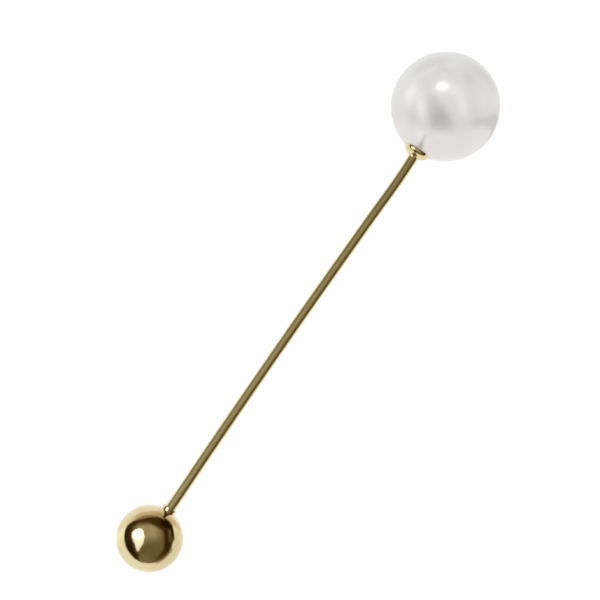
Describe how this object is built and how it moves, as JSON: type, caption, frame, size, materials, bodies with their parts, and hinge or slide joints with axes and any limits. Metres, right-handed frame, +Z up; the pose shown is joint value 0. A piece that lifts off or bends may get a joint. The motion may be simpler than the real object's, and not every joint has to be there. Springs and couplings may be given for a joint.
{
  "type": "pearl brooch",
  "caption": "Straight stick-pin brooch with a round white pearl glued to a shallow cup on a gold wire, and a polished gold ball clutch that pulls off its point.",
  "frame": {"origin": "on the surface that the brooch lies on, under the middle of its overall length", "axes": "+X from the ball to the pearl, +Z up from the surface, and +Y across the brooch"},
  "size_m": [0.0554, 0.01, 0.01],
  "materials": {
    "pearl": "satin",
    "gold_wire": "polished",
    "gold_ball": "polished"
  },
  "bodies": {
    "pin": {"pin": "gold_wire", "pearl": "pearl"},
    "clutch": {"ball_clutch": "gold_ball"}
  },
  "joints": [
    {"name": "clutch_slide", "type": "slide", "parent": "pin", "child": "clutch", "axis": [-0.9991, 0, -0.0421], "range_m": [0, 0.008]}
  ]
}
